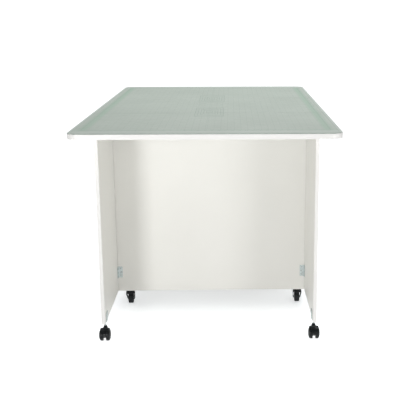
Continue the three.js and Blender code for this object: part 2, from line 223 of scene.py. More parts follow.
def mat_material(half_width, half_length):
    """Grey-green cutting mat: inch grid, ruler bands, border lines and guides, printed in darker green."""
    n = Nodes("cutting_mat")
    x, y = n.axes()[0], n.axes()[1]
    from_side = n.math("SUBTRACT", half_width, n.math("ABSOLUTE", x))
    from_end = n.math("SUBTRACT", half_length, n.math("ABSOLUTE", y))
    from_edge = n.math("MINIMUM", from_side, from_end)
    past_side = n.math("SUBTRACT", from_side, GRID_MARGIN)
    past_end = n.math("SUBTRACT", from_end, END_MARGIN)
    past = n.math("MINIMUM", past_side, past_end)
    grid_zone = n.span(past, -0.0004, 0.0004, 0.0, 1.0)

    inch, half = (
        n.math("MAXIMUM", line_at(n, past_side, *style), line_at(n, past_end, *style))
        for style in ((INCH, 0.00035, 0.0002), (INCH / 2, 0.00016, 0.00014))
    )
    # Eighth-inch ticks stand just outside the grid's border.
    tick_zone = n.math("SUBTRACT", n.span(past, -0.0036, -0.0034, 0.0, 1.0), grid_zone)
    at_sides = n.math("LESS_THAN", past_side, past_end)
    tick_style = (INCH / 8, 0.0002, 0.00015)
    tick_y = n.math("MULTIPLY", at_sides, line_at(n, past_end, *tick_style))
    tick_x = n.math("MULTIPLY", n.math("SUBTRACT", 1.0, at_sides), line_at(n, past_side, *tick_style))
    ticks = n.math("MULTIPLY", n.math("ADD", tick_x, tick_y), tick_zone)

    cloud = n.span(n.noise(5.0, 4.0), 0.3, 0.7, 0.0, 1.0)
    colour = n.mix(cloud, MAT_SHADE, MAT_LIGHT)
    grain = n.span(n.noise(1100.0, 2.0), 0.3, 0.7, 0.95, 1.0)
    colour = n.mix(1.0, colour, grain, "MULTIPLY")
    # The ruler bands down both sides are a stronger green, the strip outside them is paler.
    band_ends = n.span(past_end, -0.03, 0.02, 0.0, 1.0)
    band = n.math("MULTIPLY", stripe(n, from_side, SIDE_BAND, 0.008, 0.012), band_ends)
    colour = n.mix(n.math("MULTIPLY", band, 0.85), colour, MAT_BAND)
    end_band = n.math("MULTIPLY", stripe(n, from_end, END_MARGIN, 0.009, 0.008), 0.3)
    colour = n.mix(end_band, colour, MAT_BAND)
    colour = n.mix(n.math("MULTIPLY", stripe(n, from_edge, 0.0065, 0.0022, 0.0015), 0.5), colour, MAT_PALE)
    colour = n.mix(n.math("MULTIPLY", stripe(n, past_end, -0.035, 0.010, 0.012), 0.25), colour, MAT_PALE)

    ink = brightest(
        n,
        n.math("MULTIPLY", n.math("MULTIPLY", half, 0.16), grid_zone),
        n.math("MULTIPLY", n.math("MULTIPLY", inch, 0.5), grid_zone),
        n.math("MULTIPLY", mat_guides(n, x, y), 0.55),
        n.math("MULTIPLY", ticks, 0.7),
        n.math("MULTIPLY", stripe(n, past, 0.0, 0.0006), 0.75),
        n.math("MULTIPLY", stripe(n, from_edge, 0.0112, 0.0012, 0.0006), 0.4),
        n.math("MULTIPLY", stripe(n, from_edge, 0.0, 0.0026, 0.001), 0.32),
    )
    colour = n.mix(ink, colour, MAT_INK)
    # Fine knife marks: long thin scratches that hardly show.
    scratch = n.span(n.noise(60.0, 3.0, stretch=(1.0, 22.0, 1.0)), 0.66, 0.7, 0.0, 1.0)
    colour = n.mix(n.math("MULTIPLY", scratch, 0.06), colour, MAT_PALE)
    roughness = n.span(n.noise(30.0, 5.0), 0.3, 0.7, 0.36, 0.46)
    n.bump(n.math("ADD", n.noise(1500.0, 2.0), n.math("MULTIPLY", scratch, -0.4)), 0.12, 0.0002)
    return n.finish(colour, roughness, IOR=1.45)


def ink_material():
    """The mat's printed numerals."""
    n = Nodes("mat_ink")
    tone = n.span(n.noise(400.0, 3.0), 0.3, 0.7, 0.0, 1.0)
    return n.finish(n.mix(tone, MAT_INK, tuple(0.5 * (a + b) for a, b in zip(MAT_INK, MAT_SHADE))), 0.42)


def zinc_material(name, dark, light, smooth):
    """Zinc-plated pressed steel: cloudy plating with faint rolling streaks."""
    n = Nodes(name)
    cloud = n.span(n.noise(190.0, 4.0), 0.35, 0.65, 0.0, 1.0)
    colour = n.mix(cloud, dark, light)
    roughness = n.span(n.noise(420.0, 4.0, stretch=(1.0, 1.0, 0.1)), 0.3, 0.7, smooth, smooth + 0.18)
    n.bump(n.noise(2600.0, 2.0, stretch=(1.0, 1.0, 0.2)), 0.06, 0.0001)
    return n.finish(colour, roughness, Metallic=1.0)


def plastic_material(name, dark, light, roughness):
    """Moulded nylon with a fine spark texture, a little paler where it is scuffed."""
    n = Nodes(name)
    scuff = n.span(n.noise(85.0, 5.0, rough=0.65), 0.5, 0.72, 0.0, 1.0)
    colour = n.mix(scuff, dark, light)
    gloss = n.span(n.noise(240.0, 3.0), 0.3, 0.7, roughness - 0.05, roughness + 0.08)
    n.bump(n.noise(2400.0, 2.0), 0.1, 0.00012)
    return n.finish(colour, gloss, IOR=1.5, Specular_IOR_Level=0.22)


def tread_material():
    """Dark rubber tread: matt, with patches of paler dust."""
    n = Nodes("grey_tread")
    dust = n.span(n.noise(150.0, 5.0, rough=0.7), 0.45, 0.75, 0.0, 1.0)
    colour = n.mix(dust, (0.008, 0.010, 0.011), (0.035, 0.038, 0.040))
    n.bump(n.noise(1800.0, 3.0), 0.2, 0.0002)
    return n.finish(colour, n.span(dust, 0.0, 1.0, 0.5, 0.7), IOR=1.5, Specular_IOR_Level=0.2)


MAT_LIGHT = (0.425, 0.482, 0.432)
MAT_SHADE = (0.395, 0.452, 0.403)
MAT_BAND = (0.315, 0.425, 0.345)
MAT_PALE = (0.56, 0.60, 0.57)
MAT_INK = (0.17, 0.25, 0.2)
GRID_MARGIN = 0.0381
SIDE_BAND = 0.045
END_MARGIN = 0.0889
GUIDE_RADIUS = 4 * INCH
GAUGE_MIDDLE = 0.27
GAUGE_HALF_WIDTH = 0.06
GAUGE_SHAPE = 0.4

MELAMINE = melamine("white_melamine", (0.90, 0.893, 0.858), (0.875, 0.868, 0.832))
EDGE_BAND = melamine("white_edge_band", (0.89, 0.88, 0.865), (0.86, 0.85, 0.835))
SEAM = seam_material()
ZINC = zinc_material("zinc_steel", (0.47, 0.52, 0.52), (0.63, 0.68, 0.675), 0.42)
SCREW_STEEL = zinc_material("screw_steel", (0.30, 0.32, 0.32), (0.44, 0.46, 0.46), 0.26)
BLACK_PLASTIC = plastic_material("black_nylon", (0.0035, 0.005, 0.006), (0.014, 0.017, 0.019), 0.34)
BLACK_STEEL = plastic_material("black_powder_coat", (0.004, 0.005, 0.006), (0.015, 0.017, 0.019), 0.42)
GREY_TREAD = tread_material()


# ---------------------------------------------------------------- mesh helpers

def placed(name, data):
    """A new object, linked into the scene."""
    made = bpy.data.objects.new(name, data)
    bpy.context.scene.collection.objects.link(made)
    return made


def steady_normals(made):
    """Keeps the shading of big flat faces flat, so that only the softened edges round it."""
    change = made.modifiers.new("normals", "WEIGHTED_NORMAL")
    change.keep_sharp = True
    change.weight = 80


def piece(name, mesh, body, materials, nodes=()):
    """A finished piece: its mesh in an object, with materials, riding on a body."""
    made = placed(name, mesh)
    for material in materials:
        mesh.materials.append(material)
    steady_normals(made)
    if nodes:
        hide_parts(*nodes)
    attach(made, body)
    return made


def to_mesh(bm, name, angle=35.0):
    """A bmesh as a mesh, smooth except at edges sharper than an angle."""
    bmesh.ops.recalc_face_normals(bm, faces=bm.faces)
    limit = math.radians(angle)
    for face in bm.faces:
        face.smooth = True
    for edge in bm.edges:
        edge.smooth = len(edge.link_faces) == 2 and edge.calc_face_angle(0.0) < limit
    mesh = bpy.data.meshes.new(name)
    bm.to_mesh(mesh)
    bm.free()
    return mesh


def loft(bm, rings, closed_ends=True, loop=False, materials=None):
    """Faces between rings that have the same number of points. Returns the rings' vertices."""
    made = [[bm.verts.new(point) for point in ring] for ring in rings]
    pairs = list(zip(made, made[1:])) + ([(made[-1], made[0])] if loop else [])
    for step, (low, high) in enumerate(pairs):
        for i in range(len(low)):
            j = (i + 1) % len(low)
            face = bm.faces.new((low[i], low[j], high[j], high[i]))
            face.material_index = materials[step] if materials else 0
    if closed_ends and not loop:
        bm.faces.new(list(reversed(made[0])))
        bm.faces.new(made[-1])
    return made


def turned(bm, profile, axis="Z", centre=(0, 0, 0), steps=48, material=0):
    """A solid turned about an axis. The profile is (radius, height) pairs, ending on the axis or closing."""
    centre = Vector(centre)
    closes = profile[0] == profile[-1]
    points = profile[:-1] if closes else profile
    columns = []
    for radius, height in points:
        ring = []
        for k in range(steps if radius > 1e-9 else 1):
            turn = 2 * math.pi * k / steps
            flat = (radius * math.cos(turn), radius * math.sin(turn), height)
            where = Vector(flat) if axis == "Z" else Vector((flat[2], flat[0], flat[1]))
            ring.append(bm.verts.new(centre + where))
        columns.append(ring)
    pairs = list(zip(columns, columns[1:])) + ([(columns[-1], columns[0])] if closes else [])
    for low, high in pairs:
        for k in range(steps):
            m = (k + 1) % steps
            corners = [low[k % len(low)], low[m % len(low)], high[m % len(high)], high[k % len(high)]]
            unique = list(dict.fromkeys(corners))
            if len(unique) > 2:
                face = bm.faces.new(unique)
                face.material_index = material


def rounded_outline(low, high, radii, inset, steps=6):
    """A rectangle's outline, anticlockwise from its low corner, with its four corners rounded."""
    points = []
    corners = (
        (low[0], low[1], 1, 1, math.pi),
        (high[0], low[1], -1, 1, 1.5 * math.pi),
        (high[0], high[1], -1, -1, 0.0),
        (low[0], high[1], 1, -1, 0.5 * math.pi),
    )
    for (x, y, toward_x, toward_y, start), radius in zip(corners, radii):
        bend = max(radius - inset, 0.0001)
        centre_x = x + toward_x * (inset + bend)
        centre_y = y + toward_y * (inset + bend)
        for k in range(steps + 1):
            turn = start + 0.5 * math.pi * k / steps
            points.append((centre_x + bend * math.cos(turn), centre_y + bend * math.sin(turn)))
    return points


def box_mesh(bm, low, high, arris=0.0003, material=0, radii=None, steps=2):
    """A block with softened edges."""
    radii = radii or (2 * arris,) * 4
    def at(inset, z):
        return [(x, y, z) for x, y in rounded_outline(low[:2], high[:2], radii, inset, steps)]
    rings = [
        at(arris, low[2]),
        at(0.3 * arris, low[2] + 0.3 * arris),
        at(0.0, low[2] + arris),
        at(0.0, high[2] - arris),
        at(0.3 * arris, high[2] - 0.3 * arris),
        at(arris, high[2]),
    ]
    loft(bm, rings, materials=[material] * 5)


def cut(target, cutter_mesh):
    """Takes the cutter's shape out of a mesh object, for good."""
    tool = placed("cutter", cutter_mesh)
    target.modifiers.clear()
    change = target.modifiers.new("cut", "BOOLEAN")
    change.operation = "DIFFERENCE"
    change.solver = "EXACT"
    change.object = tool
    graph = bpy.context.evaluated_depsgraph_get()
    result = bpy.data.meshes.new_from_object(target.evaluated_get(graph))
    target.modifiers.clear()
    target.data = result
    bpy.data.objects.remove(tool)
    steady_normals(target)


def plain_block(low, high):
    bm = bmesh.new()
    bmesh.ops.create_cube(bm, size=1.0)
    size = Vector(high) - Vector(low)
    middle = (Vector(high) + Vector(low)) / 2
    bm.transform(Matrix.Translation(middle) @ Matrix.Diagonal((*size, 1)))
    mesh = bpy.data.meshes.new("cutter")
    bm.to_mesh(mesh)
    bm.free()
    return mesh


# ---------------------------------------------------------------- boards

BAND_THICKNESS = 1.0 * MM
SEAM_WIDTH = 0.15 * MM
BOARD_ARRIS = 0.6 * MM


def board_mesh(name, low, high, radii=None, steps=6):
    """A melamine board: softened arrises, an edge band all round and its glue line on both faces."""
    size = [high[i] - low[i] for i in range(3)]
    thin = size.index(min(size))
    flat = [i for i in range(3) if i != thin]
    radii = radii or (2 * BOARD_ARRIS,) * 4
    flat_low = [low[i] for i in flat]
    flat_high = [high[i] for i in flat]

    def ring(inset, depth):
        points = []
        for u, v in rounded_outline(flat_low, flat_high, radii, inset, steps):
            place = [0.0, 0.0, 0.0]
            place[flat[0]], place[flat[1]], place[thin] = u, v, depth
            points.append(tuple(place))
        return points

    near, far = low[thin], high[thin]
    arris = BOARD_ARRIS
    inner = BAND_THICKNESS + SEAM_WIDTH
    rings = [
        ring(inner, near),
        ring(BAND_THICKNESS, near),
        ring(arris, near),
        ring(0.3 * arris, near + 0.3 * arris),
        ring(0.0, near + arris),
        ring(0.0, far - arris),
        ring(0.3 * arris, far - 0.3 * arris),
        ring(arris, far),
        ring(BAND_THICKNESS, far),
        ring(inner, far),
    ]
    bm = bmesh.new()
    loft(bm, rings, materials=[2, 1, 1, 1, 1, 1, 1, 1, 2])
    return to_mesh(bm, name)


BOARD_LOOKS = (MELAMINE, EDGE_BAND, SEAM)


def make_board(node, body, radii=None, steps=3):
    low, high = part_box(node)
    mesh = board_mesh(node + "_board", low, high, radii, steps)
    return piece(node + "_board", mesh, body, BOARD_LOOKS, [node])


def make_carcass():
    for node in ("front_panel", "rear_panel", "left_end_panel", "right_end_panel", "bottom_panel"):
        make_board(node, "carcass")


CORNER_RADIUS = 42 * MM
REBATE_CLEARANCE = 2 * MM


def rebate(end):
    """The space under a leaf's joint that the continuous hinge lies in."""
    hinge = (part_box(end + "_leaf_hinge_fixed"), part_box(end + "_leaf_hinge_moving"))
    low = [min(box[0][i] for box in hinge) for i in range(3)]
    high = [max(box[1][i] for box in hinge) for i in range(3)]
    grown_low = (low[0] - REBATE_CLEARANCE, low[1] - 0.5 * REBATE_CLEARANCE, low[2] - 0.01)
    grown_high = (high[0] + REBATE_CLEARANCE, high[1] + 0.5 * REBATE_CLEARANCE, high[2] + 0.3 * MM)
    return plain_block(grown_low, grown_high)


def make_top():
    top = make_board("centre_top", "carcass")
    for end, direction in ENDS:
        cut(top, rebate(end))
        sharp = 2 * BOARD_ARRIS
        outer = (CORNER_RADIUS, CORNER_RADIUS, sharp, sharp)
        radii = outer if direction > 0 else outer[::-1]
        leaf = make_board(end + "_leaf", end + "_leaf", radii, steps=12)
        cut(leaf, rebate(end))


# ---------------------------------------------------------------- cutting mat

MAT_BODIES = (("front_mat", "front_leaf"), ("centre_mat", "carcass"), ("rear_mat", "rear_leaf"))
NUMERAL_DEPTH = 0.06 * MM
NUMERAL_HEIGHT = 7 * MM
NUMERAL_GAP = 11.5 * MM
NUMERAL_CLEARANCE = 6 * MM


def numeral(text, x, y, turn, top):
    """One printed number as a very thin solid, its centre at (x, y)."""
    curve = bpy.data.curves.new("numeral", "FONT")
    curve.body = text
    curve.size = NUMERAL_HEIGHT / 0.7
    curve.align_x = "CENTER"
    curve.align_y = "CENTER"
    curve.extrude = NUMERAL_DEPTH / 2
    curve.resolution_u = 3
    made = placed("numeral", curve)
    graph = bpy.context.evaluated_depsgraph_get()
    mesh = bpy.data.meshes.new_from_object(made.evaluated_get(graph))
    bpy.data.objects.remove(made)
    place = Matrix.Translation((x, y, top - NUMERAL_DEPTH / 2)) @ Matrix.Rotation(turn, 4, "Z")
    mesh.transform(place)
    return mesh


def numerals_for(low, high, half_width, half_length):
    """Where the numbers stand round the mat: text, x, y and turn, for those that fall on one board."""
    found = []
    row = GRID_MARGIN - NUMERAL_GAP
    end_row = END_MARGIN - NUMERAL_GAP
    across = int((2 * half_width - 2 * GRID_MARGIN) / INCH + 0.001)
    along = int((2 * half_length - 2 * END_MARGIN) / INCH + 0.001)
    for k in range(1, across + 1):
        x = -half_width + GRID_MARGIN + k * INCH
        found.append((str(k), x, -half_length + end_row, 0.0))
        found.append((str(k), -x, half_length - end_row, math.pi))
    for k in range(1, along + 1):
        y = -half_length + END_MARGIN + k * INCH
        found.append((str(k), half_width - row, y, 0.5 * math.pi))
        found.append((str(k), -half_width + row, -y, -0.5 * math.pi))
    return [entry for entry in found if low[1] + NUMERAL_CLEARANCE < entry[2] < high[1] - NUMERAL_CLEARANCE]


def make_mats():
    _, high_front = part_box("front_mat")
    _, high_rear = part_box("rear_mat")
    half_width = high_front[0]
    half_length = high_rear[1]
    looks = mat_material(half_width, half_length)
    ink = ink_material()
    sharp = 0.4 * MM
    inset = 0.5 * (CAD_BOUNDS[1][1] - CAD_BOUNDS[0][1]) - half_length
    corner = CORNER_RADIUS - inset
    for node, body in MAT_BODIES:
        low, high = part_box(node)
        high_z = high[2] - NUMERAL_DEPTH / 2
        radii = {
            "front_mat": (corner, corner, sharp, sharp),
            "centre_mat": (sharp,) * 4,
            "rear_mat": (sharp, sharp, corner, corner),
        }[node]
        bm = bmesh.new()
        box_mesh(bm, low, (high[0], high[1], high_z), arris=0.35 * MM, radii=radii, steps=12)
        piece(node + "_sheet", to_mesh(bm, node + "_sheet"), body, [looks], [node])

        bm = bmesh.new()
        for text, x, y, turn in numerals_for(low, high, half_width, half_length):
            printed = numeral(text, x, y, turn, high[2])
            bm.from_mesh(printed)
            bpy.data.meshes.remove(printed)
        bmesh.ops.remove_doubles(bm, verts=bm.verts, dist=1e-6)
        name = node + "_numbers"
        piece(name, to_mesh(bm, name), body, [ink])


# ---------------------------------------------------------------- screws

SCREW_STEPS = 20


def screw_template():
    """A countersunk cross-head screw's head, its face at the origin and facing +Z."""
    bm = bmesh.new()
    turned(
        bm,
        [(0.0, -0.9 * MM), (2.4 * MM, -0.9 * MM), (2.9 * MM, -0.1 * MM), (2.95 * MM, 0.3 * MM),
         (2.7 * MM, 0.65 * MM), (2.0 * MM, 0.95 * MM), (1.0 * MM, 1.1 * MM), (0.0, 1.12 * MM)],
        steps=SCREW_STEPS,
    )
    head = placed("head", to_mesh(bm, "screw_head"))
    arm, half, floor, above = 1.6 * MM, 0.34 * MM, 0.1 * MM, 2 * MM
    cut(head, plain_block((-arm, -half, floor), (arm, half, above)))
    cut(head, plain_block((-half, -arm, floor), (half, arm, above)))
    mesh = head.data
    bpy.data.objects.remove(head)
    return mesh


SCREW = screw_template()


def add_screw(bm, place, facing, turn=0.4, scale=1.0, material=1):
    """Adds a screw head to a bmesh: its face at a place, facing along a direction."""
    copy = SCREW.copy()
    for face in copy.polygons:
        face.material_index = material
    aim = Vector((0, 0, 1)).rotation_difference(Vector(facing)).to_matrix().to_4x4()
    move = Matrix.Translation(place) @ aim @ Matrix.Rotation(turn, 4, "Z") @ Matrix.Scale(scale, 4)
    copy.transform(move)
    bm.from_mesh(copy)
    bpy.data.meshes.remove(copy)


# ---------------------------------------------------------------- hinges

def make_hinge_halves(
    prefix, bodies, axis, radius, knuckles, sheet, corner, stagger, out, along, ways, screw_rows
):
    """Both halves of a hinge, in place of their CAD nodes.

    axis is the middle of the barrel and along its direction.  ways are the ways the plates run from it
    and out the ways their screw heads face, for the fixed and the moving plate.  sheet is the plates'
    thickness, corner their outer corners' radius and stagger how far screws step out of line by turns.
    """
    boxes = {half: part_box(prefix + "_" + half) for half in ("fixed", "moving")}
    low = Vector([min(boxes[h][0][i] for h in boxes) for i in range(3)])
    high = Vector([max(boxes[h][1][i] for h in boxes) for i in range(3)])
    along = Vector(along)
    length = abs((high - low).dot(along))
    axis = Vector(axis)
    pitch = length / knuckles
    # The fixed half has the first knuckle, and the halves' knuckles take turns from there.
    for first, half in enumerate(("fixed", "moving")):
        way, face = Vector(ways[first]), Vector(out[first])
        box_low, box_high = Vector(boxes[half][0]), Vector(boxes[half][1])
        reach = max((box_high - axis).dot(way), (box_low - axis).dot(way))
        back = axis - face * radius
        turn = Matrix((way, along, face)).transposed().to_4x4()
        bm = bmesh.new()
        # In local coordinates x runs along the plate's way, y along the barrel and z towards the screws.
        clear = radius + 0.4 * MM
        box_mesh(
            bm,
            (clear, -length / 2, 0.0),
            (reach, length / 2, sheet),
            arris=0.2 * MM,
            radii=(0.5 * MM, corner, corner, 0.5 * MM),
            steps=4,
        )
        for k in range(first, knuckles, 2):
            start = -length / 2 + k * pitch + (0.15 * MM if k else 0.0)
            stop = -length / 2 + (k + 1) * pitch - (0.15 * MM if k < knuckles - 1 else 0.0)
            add_knuckle(bm, radius, start, stop, clear + 0.6 * MM, sheet)
        if half == "fixed":
            add_pin(bm, radius, length)
        rows, columns = screw_rows
        for row in range(rows):
            y = -length / 2 + length * (row + 0.5) / rows
            for column in columns:
                x = column + (stagger if row % 2 else -stagger)
                add_screw(bm, (x, y, sheet), (0, 0, 1), turn=0.35 + 0.9 * row)
        bm.transform(Matrix.Translation(back) @ turn)
        name = prefix + "_" + half + "_half"
        piece(name, to_mesh(bm, name), bodies[first], [ZINC, SCREW_STEEL],
              [prefix + "_" + half])


def add_knuckle(bm, radius, start, stop, reach, sheet):
    """A rolled knuckle about the local Y axis, its plate's back on z = 0 and running out along +x."""
    steps = 20
    bore = 0.45 * radius
    soft = 0.25 * MM

    def ring(size, y):
        return [
            (size * math.cos(2 * math.pi * k / steps), y, radius + size * math.sin(2 * math.pi * k / steps))
            for k in range(steps)
        ]

    rings = [
        ring(bore, start),
        ring(radius - soft, start),
        ring(radius, start + soft),
        ring(radius, stop - soft),
        ring(radius - soft, stop),
        ring(bore, stop),
    ]
    loft(bm, rings, closed_ends=False, loop=True)
    box_mesh(bm, (0.0, start, 0.0), (reach, stop, sheet), arris=0.1 * MM, steps=1)


def add_pin(bm, radius, length):
    """The hinge's pin along local Y, with a low domed head at each end."""
    core = bmesh.new()
    size = 0.4 * radius
    half = length / 2 - 0.2 * MM
    turned(
        core,
        [(0.0, -half), (0.6 * size, -half), (size, -half + 0.3 * MM), (size, half - 0.3 * MM),
         (0.6 * size, half), (0.0, half)],
        steps=12,
    )
    core.transform(Matrix.Translation((0, 0, radius)) @ Matrix.Rotation(-0.5 * math.pi, 4, "X"))
    mesh = bpy.data.meshes.new("pin")
    core.to_mesh(mesh)
    core.free()
    bm.from_mesh(mesh)
    bpy.data.meshes.remove(mesh)


def joint_place(name):
    return next(Vector(j["pos_m"]) for j in frame["joints"] if j["name"] == name)


def make_wing_hinges():
    for end, toward_front in ENDS:
        for side, toward_left in SIDES:
            corner = end + "_" + side
            pivot = joint_place(corner + "_wing_swing")
            for level in ("lower", "upper"):
                prefix = corner + "_" + level + "_hinge"
                low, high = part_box(prefix + "_fixed")
                make_hinge_halves(
                    prefix,
                    ("carcass", corner + "_wing"),
                    axis=(pivot.x, pivot.y, (low[2] + high[2]) / 2),
                    radius=3 * MM,
                    knuckles=3,
                    sheet=1.5 * MM,
                    corner=2.2 * MM,
                    stagger=1.2 * MM,
                    out=((0, -toward_front, 0), (toward_left, 0, 0)),
                    along=(0, 0, 1),
                    ways=((toward_left, 0, 0), (0, -toward_front, 0)),
                    screw_rows=(3, (10.5 * MM,)),
                )


def make_leaf_hinges():
    for end, toward_front in ENDS:
        prefix = end + "_leaf_hinge"
        pivot = joint_place(end + "_leaf_lift")
        make_hinge_halves(
            prefix,
            ("carcass", end + "_leaf"),
            axis=pivot,
            radius=2.8 * MM,
            knuckles=35,
            sheet=1.2 * MM,
            corner=0.5 * MM,
            stagger=0.0,
            out=((0, 0, -1), (0, 0, -1)),
            along=(1, 0, 0),
            ways=((0, toward_front, 0), (0, -toward_front, 0)),
            screw_rows=(12, (15 * MM,)),
        )


# ---------------------------------------------------------------- casters

WHEEL_RADIUS = 25 * MM


def make_bracket(corner, toward_front, toward_left):
    node = corner + "_wing_caster_bracket"
    low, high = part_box(node)
    sheet = 2.5 * MM
    bm = bmesh.new()
    arris = 0.35 * MM
    inner, far = (high[0], low[0]) if toward_left > 0 else (low[0], high[0])
    # The lip ends halfway into the upright, and no two of their faces lie in one plane.
    lip = sorted((far, inner - toward_left * sheet / 2))
    gap = 0.06 * MM
    lip_low = (lip[0], low[1] + gap, low[2] + gap)
    lip_high = (lip[1], high[1] - gap, low[2] + sheet)
    box_mesh(bm, lip_low, lip_high, arris=arris, steps=3)
    wall = sorted((inner, inner - toward_left * sheet))
    # The upright's upper corners are rounded, so it is lofted across its thickness.
    upright_radii = (0.8 * MM, 0.8 * MM, 7 * MM, 7 * MM)
    stations = ((arris, wall[0]), (0.0, wall[0] + arris), (0.0, wall[1] - arris), (arris, wall[1]))
    rings = []
    for inset, x in stations:
        outline = rounded_outline(low[1:], high[1:], upright_radii, inset, 6)
        rings.append([(x, y, z) for y, z in outline])
    loft(bm, rings)
    middle_y = (low[1] + high[1]) / 2
    for offset_y in (-12 * MM, 12 * MM):
        add_screw(bm, (inner, middle_y + offset_y, high[2] - 11 * MM), (toward_left, 0, 0), 0.7 + 30 * offset_y)
    add_screw(bm, (inner, middle_y, high[2] - 24 * MM), (toward_left, 0, 0), 1.2)
    name = corner + "_wing_caster_angle"
    piece(name, to_mesh(bm, name), corner + "_wing", [ZINC, SCREW_STEEL], [node])


def twin_wheels(corner, axle):
    """The pair of domed wheels and their axle."""
    outer, inner = 24 * MM, 6.2 * MM
    r = WHEEL_RADIUS
    bm = bmesh.new()
    for side in (-1, 1):
        profile = [
            (0.0, outer),
            (2.2 * MM, outer - 0.1 * MM),
            (5.6 * MM, outer - 0.3 * MM),
            (6.0 * MM, outer - 0.8 * MM),
            (6.6 * MM, outer - 0.4 * MM),
            (11 * MM, outer - 0.8 * MM),
            (15 * MM, outer - 1.6 * MM),
            (18.6 * MM, outer - 2.7 * MM),
            (19.0 * MM, outer - 3.4 * MM),
            (19.6 * MM, outer - 3.2 * MM),
            (22 * MM, outer - 4.4 * MM),
            (23.8 * MM, outer - 6.0 * MM),
            (r - 0.35 * MM, outer - 7.8 * MM),
            (r, outer - 9.6 * MM),
            (r, inner + 1.5 * MM),
            (r - 0.5 * MM, inner + 0.4 * MM),
            (r - 1.2 * MM, inner),
            (3.0 * MM, inner),
            (3.0 * MM, 0.0),
            (0.0, 0.0),
        ]
        turned(bm, [(radius, side * x) for radius, x in profile], "X", axle, steps=64)
    bmesh.ops.remove_doubles(bm, verts=bm.verts, dist=1e-7)
    doubled = [face for face in bm.faces if all(abs(v.co.x - axle[0]) < 1e-7 for v in face.verts)]
    bmesh.ops.delete(bm, geom=doubled, context="FACES_ONLY")
    name = corner + "_wing_twin_wheels"
    piece(name, to_mesh(bm, name, 30), corner + "_wing_wheels", [BLACK_PLASTIC],
          [corner + "_wing_caster_wheels"])


def swept_section(bm, section, axle, start, stop, steps):
    """A closed (x, radius) section swept about the axle between two angles, with flat ends."""
    rings = []
    for k in range(steps + 1):
        turn = start + (stop - start) * k / steps
        rings.append([
            (axle[0] + x, axle[1] + radius * math.cos(turn), axle[2] + radius * math.sin(turn))
            for x, radius in section
        ])
    loft(bm, rings)


def joined(meshes, name):
    """Closed meshes made into one by boolean union."""
    objects = [placed("part", mesh) for mesh in meshes]
    first = objects[0]
    for other in objects[1:]:
        change = first.modifiers.new("join", "BOOLEAN")
        change.operation = "UNION"
        change.solver = "EXACT"
        change.object = other
    graph = bpy.context.evaluated_depsgraph_get()
    result = bpy.data.meshes.new_from_object(first.evaluated_get(graph))
    for made in objects:
        bpy.data.objects.remove(made)
    bm = bmesh.new()
    bm.from_mesh(result)
    bpy.data.meshes.remove(result)
    return to_mesh(bm, name, 32)


def twin_hood(corner, stem, axle, toward_front):
    """The hood over a wheel pair: canopy, web between the wheels, boss, neck and stem."""
    crown = [
        (-18.0, 26.1), (-18.2, 26.6), (-17.4, 27.2), (-14.0, 27.9), (-8.0, 28.3), (0.0, 28.4),
        (8.0, 28.3), (14.0, 27.9), (17.4, 27.2), (18.2, 26.6), (18.0, 26.1), (0.0, 26.1),
    ]
    section = [(x * MM, radius * 0.985 * MM + 0.015 * 26.1 * MM) for x, radius in crown]
    rear, front = math.radians(16), math.radians(144)
    if toward_front < 0:
        rear, front = math.pi - front, math.pi - rear
    bm = bmesh.new()
    swept_section(bm, section, axle, rear, front, 28)
    canopy = to_mesh(bm, "canopy")

    bm = bmesh.new()
    steps = 48
    outline = []
    for k in range(steps):
        turn = 2 * math.pi * k / steps
        height = math.sin(turn)
        blend_up = min(max((height + 0.35) / 0.5, 0.0), 1.0)
        size = 14 * MM + (26.5 - 14) * MM * blend_up * blend_up * (3 - 2 * blend_up)
        outline.append((size * math.cos(turn), size * math.sin(turn)))
    rings = []
    for inset, x in ((0.6, -5.6), (0.0, -5.0), (0.0, 5.0), (0.6, 5.6)):
        shrink = 1 - inset * MM / (20 * MM)
        rings.append([(axle[0] + x * MM, axle[1] + y * shrink, axle[2] + z * shrink) for y, z in outline])
    loft(bm, rings)
    web = to_mesh(bm, "web")

    bm = bmesh.new()
    turned(
        bm,
        [(0.0, 45 * MM), (9.5 * MM, 45 * MM), (9.2 * MM, 50 * MM), (8.0 * MM, 52.8 * MM),
         (6.4 * MM, 54.4 * MM), (5.8 * MM, 56 * MM), (5.5 * MM, 58 * MM), (4.9 * MM, 59 * MM), (0.0, 59 * MM)],
        centre=(stem[0], stem[1], 0.0),
        steps=32,
    )
    boss = to_mesh(bm, "boss")
    name = corner + "_wing_caster_body"
    piece(name, joined([canopy, web, boss], name), corner + "_wing_caster", [BLACK_PLASTIC],
          [corner + "_wing_caster_hood"])

    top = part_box(corner + "_wing_caster_hood")[1][2]
    bm = bmesh.new()
    turned(
        bm,
        [(0.0, 58 * MM), (3.4 * MM, 58 * MM), (3.4 * MM, 74 * MM), (3.4 * MM, top - 1 * MM),
         (2.6 * MM, top), (0.0, top)],
        centre=(stem[0], stem[1], 0.0),
        steps=24,
    )
    # A thin collar where the stem leaves the hood.
    turned(
        bm,
        [(3.4 * MM, 59.1 * MM), (4.6 * MM, 59.1 * MM), (4.6 * MM, 60.2 * MM), (3.4 * MM, 60.2 * MM),
         (3.4 * MM, 59.1 * MM)],
        centre=(stem[0], stem[1], 0.0),
        steps=24,
    )
    name = corner + "_wing_caster_stem"
    piece(name, to_mesh(bm, name), corner + "_wing_caster", [ZINC])


